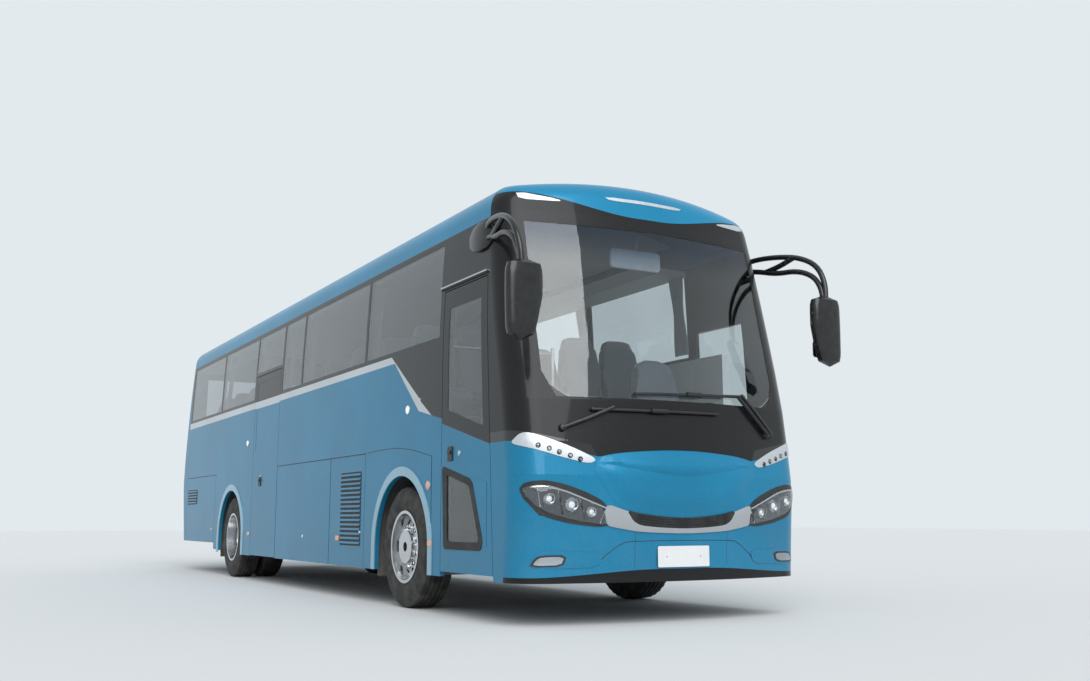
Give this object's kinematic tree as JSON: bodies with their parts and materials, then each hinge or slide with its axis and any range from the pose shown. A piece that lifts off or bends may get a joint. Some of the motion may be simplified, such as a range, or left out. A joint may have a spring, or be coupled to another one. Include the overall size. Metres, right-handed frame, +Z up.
{
  "type": "touring coach bus",
  "caption": "High-floor touring coach with outswing doors, opening luggage flaps, steered front wheels and twin rear wheels.",
  "frame": {"origin": "on the ground below the middle of the overall box, mirrors included", "axes": "+X forward along the coach, +Y to the coach's left, +Z up"},
  "size_m": [11.7, 3.02, 3.47],
  "materials": {
    "body_blue": "gloss",
    "stripe_silver": "gloss",
    "band_dark": "gloss",
    "lip_silver": "gloss",
    "roof_plastic": "gloss",
    "black_plastic": "matte",
    "lamp_glass": "clear",
    "clear_glass": "tinted",
    "red_glass": "red",
    "dark_glass": "dark tint",
    "hinge_metal": "satin",
    "flap_rubber": "matte",
    "interior_grey": "matte",
    "floor": "matte",
    "bay_lining": "matte",
    "frame_steel": "satin",
    "axle_steel": "matte",
    "engine_iron": "matte",
    "seat_fabric": "woven",
    "rail_metal": "satin",
    "wheel_aluminium": "polished",
    "tyre": "matte"
  },
  "bodies": {
    "coach_body": {"chassis_frame": "frame_steel", "cabin_floor": "floor", "luggage_bays": "bay_lining", "wheelhouses": "bay_lining", "side_panels": "body_blue", "belt_stripes": "stripe_silver", "window_frames": "band_dark", "roof_panel": "body_blue", "roof_hatches": "roof_plastic", "ac_unit": "roof_plastic", "front_cap": "body_blue", "front_mask": "band_dark", "front_panel": "body_blue", "front_bumper": "body_blue", "front_grille": "black_plastic", "front_lamps": "lamp_glass", "windscreen": "clear_glass", "rear_wall": "body_blue", "rear_bumper": "body_blue", "tail_lamps": "red_glass", "body_windows": "dark_glass", "flap_hinges": "hinge_metal", "arch_lips": "lip_silver", "mudflaps": "flap_rubber", "dashboard": "interior_grey", "driver_seat": "seat_fabric", "passenger_seats": "seat_fabric", "luggage_racks": "interior_grey", "handrails": "rail_metal", "engine_block": "engine_iron", "front_axle_beam": "axle_steel", "rear_axle": "axle_steel", "mirrors": "black_plastic", "wipers": "black_plastic"},
    "front_wheel_left": {"tyre_front_left": "tyre", "rim_front_left": "wheel_aluminium"},
    "front_wheel_right": {"tyre_front_right": "tyre", "rim_front_right": "wheel_aluminium"},
    "rear_wheel_left": {"tyre_rear_left": "tyre", "rim_rear_left": "wheel_aluminium"},
    "rear_wheel_right": {"tyre_rear_right": "tyre", "rim_rear_right": "wheel_aluminium"},
    "knuckle_left": {"knuckle_left": "axle_steel"},
    "knuckle_right": {"knuckle_right": "axle_steel"},
    "steering_wheel": {"steering_wheel": "black_plastic"},
    "front_door_arm": {"front_door_arm": "rail_metal"},
    "front_door": {"front_door": "body_blue", "front_door_glass": "dark_glass"},
    "mid_door_arm": {"mid_door_arm": "rail_metal"},
    "mid_door": {"mid_door": "body_blue", "mid_door_glass": "dark_glass"},
    "engine_door": {"engine_door": "body_blue"},
    "flap_left_front": {"flap_left_front": "body_blue"},
    "flap_left_mid": {"flap_left_mid": "body_blue"},
    "flap_left_rear": {"flap_left_rear": "body_blue"},
    "flap_right_front": {"flap_right_front": "body_blue"},
    "flap_right_mid": {"flap_right_mid": "body_blue"},
    "flap_right_rear": {"flap_right_rear": "body_blue"}
  },
  "joints": [
    {"name": "steer_left", "type": "hinge", "parent": "coach_body", "child": "knuckle_left", "pos_m": [3.283, 0.9, 0.51], "axis": [0, 0, 1], "range_deg": [-38, 38]},
    {"name": "front_wheel_left_spin", "type": "hinge", "parent": "knuckle_left", "child": "front_wheel_left", "pos_m": [3.283, 1.107, 0.51], "axis": [0, 1, 0], "continuous": true},
    {"name": "rear_wheel_left_spin", "type": "hinge", "parent": "coach_body", "child": "rear_wheel_left", "pos_m": [-2.638, 1.107, 0.51], "axis": [0, 1, 0], "continuous": true},
    {"name": "steer_right", "type": "hinge", "parent": "coach_body", "child": "knuckle_right", "pos_m": [3.283, -0.9, 0.51], "axis": [0, 0, 1], "range_deg": [-38, 38]},
    {"name": "front_wheel_right_spin", "type": "hinge", "parent": "knuckle_right", "child": "front_wheel_right", "pos_m": [3.283, -1.107, 0.51], "axis": [0, 1, 0], "continuous": true},
    {"name": "rear_wheel_right_spin", "type": "hinge", "parent": "coach_body", "child": "rear_wheel_right", "pos_m": [-2.638, -1.107, 0.51], "axis": [0, 1, 0], "continuous": true},
    {"name": "steering_wheel_turn", "type": "hinge", "parent": "coach_body", "child": "steering_wheel", "pos_m": [4.915, 0.6375, 1.57], "axis": [-0.4226, 0, 0.9063], "range_deg": [-684, 684]},
    {"name": "front_door_swing", "type": "hinge", "parent": "coach_body", "child": "front_door_arm", "pos_m": [4.80346, -1.1, 1.26], "axis": [0, 0, 1], "range_deg": [0, 110]},
    {"name": "front_door_level", "type": "hinge", "parent": "front_door_arm", "child": "front_door", "pos_m": [4.26346, -1.19, 1.26], "axis": [0, 0, 1], "range_deg": [-110, 0]},
    {"name": "mid_door_swing", "type": "hinge", "parent": "coach_body", "child": "mid_door_arm", "pos_m": [-1.42, -1.1, 1.26], "axis": [0, 0, -1], "range_deg": [0, 110]},
    {"name": "mid_door_level", "type": "hinge", "parent": "mid_door_arm", "child": "mid_door", "pos_m": [-0.88, -1.19, 1.26], "axis": [0, 0, -1], "range_deg": [-110, 0]},
    {"name": "flap_left_front_lift", "type": "hinge", "parent": "coach_body", "child": "flap_left_front", "pos_m": [1.89, 1.275, 1.343], "axis": [1, 0, 0], "range_deg": [0, 100]},
    {"name": "flap_left_mid_lift", "type": "hinge", "parent": "coach_body", "child": "flap_left_mid", "pos_m": [0.43, 1.275, 1.343], "axis": [1, 0, 0], "range_deg": [0, 100]},
    {"name": "flap_left_rear_lift", "type": "hinge", "parent": "coach_body", "child": "flap_left_rear", "pos_m": [-4.44, 1.275, 1.343], "axis": [1, 0, 0], "range_deg": [0, 100]},
    {"name": "flap_right_front_lift", "type": "hinge", "parent": "coach_body", "child": "flap_right_front", "pos_m": [1.89, -1.275, 1.343], "axis": [-1, 0, 0], "range_deg": [0, 100]},
    {"name": "flap_right_mid_lift", "type": "hinge", "parent": "coach_body", "child": "flap_right_mid", "pos_m": [0.43, -1.275, 1.343], "axis": [-1, 0, 0], "range_deg": [0, 100]},
    {"name": "flap_right_rear_lift", "type": "hinge", "parent": "coach_body", "child": "flap_right_rear", "pos_m": [-4.44, -1.275, 1.343], "axis": [-1, 0, 0], "range_deg": [0, 100]},
    {"name": "engine_door_lift", "type": "hinge", "parent": "coach_body", "child": "engine_door", "pos_m": [-5.83878, 0, 1.396], "axis": [0, 1, 0], "range_deg": [0, 95]}
  ],
  "couplings": [
    {"joint": "steer_right", "follows": "steer_left", "ratio": 1},
    {"joint": "steering_wheel_turn", "follows": "steer_left", "ratio": 18},
    {"joint": "front_door_level", "follows": "front_door_swing", "ratio": -1},
    {"joint": "mid_door_level", "follows": "mid_door_swing", "ratio": -1}
  ]
}
